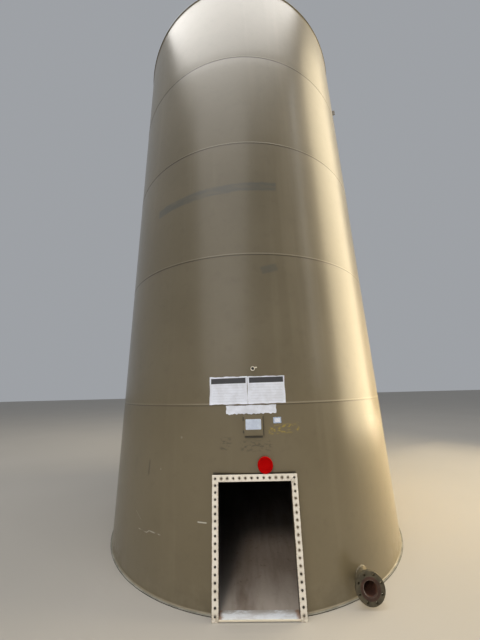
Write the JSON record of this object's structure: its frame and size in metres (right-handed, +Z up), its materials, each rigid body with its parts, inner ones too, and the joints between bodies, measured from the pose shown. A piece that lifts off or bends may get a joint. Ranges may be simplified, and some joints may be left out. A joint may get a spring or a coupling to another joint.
{
  "type": "vertical storage tank",
  "caption": "Upright cylindrical welded steel tank on a flat bottom, with a low cone deck, an open bolted-frame clean-out, a flanged outlet and a capped coupling.",
  "frame": {"origin": "on the tank's axis at the underside of its bottom plate", "axes": "+Z up along the tank's axis; -Y out of the clean-out at the front; +X to the right seen from the front"},
  "size_m": [3.7292, 3.8181, 7.9387],
  "materials": {
    "tan_paint": "satin tan paint over blasted steel, lightly dusty",
    "cream_paint": "matte cream primer with drips and smudges",
    "sill_paint": "matte light grey primer, scuffed",
    "rusted_flange": "thin tan overspray on a flange with a bare rusted face",
    "floor_steel": "dusty coated floor plate",
    "red_plastic": "satin red polyethylene",
    "bright_plate": "brushed blank plate"
  },
  "bodies": {
    "root": {"bottom_plate_front": "floor_steel", "bottom_plate_rear": "floor_steel", "course_1_front": "tan_paint", "course_1_back": "tan_paint", "course_2_front": "tan_paint", "course_2_back": "tan_paint", "course_3_front": "tan_paint", "course_3_back": "tan_paint", "course_4_front": "tan_paint", "course_4_back": "tan_paint", "course_5_front": "tan_paint", "course_5_back": "tan_paint", "deck_plate_left": "tan_paint", "deck_plate_right": "tan_paint", "hatch_neck": "tan_paint", "hatch_lid": "tan_paint", "hatch_hinge": "tan_paint", "cleanout_neck_left": "tan_paint", "cleanout_neck_right": "tan_paint", "cleanout_neck_top": "tan_paint", "cleanout_sill": "sill_paint", "cleanout_frame_top": "cream_paint", "cleanout_frame_left": "cream_paint", "cleanout_frame_right": "cream_paint", "outlet_pipe": "tan_paint", "outlet_flange": "rusted_flange", "upper_nozzle_pipe": "tan_paint", "upper_nozzle_flange": "rusted_flange", "front_coupling": "tan_paint", "front_cap": "red_plastic", "vent_coupling": "tan_paint", "vent_cap": "red_plastic", "gauge_coupling": "cream_paint", "nameplate_bracket": "tan_paint", "nameplate": "bright_plate", "walkway_lug_front": "tan_paint", "walkway_lug_rear": "tan_paint", "walkway_lug_lower": "tan_paint", "lifting_lug_left": "tan_paint", "lifting_lug_right": "tan_paint"}
  },
  "joints": []
}
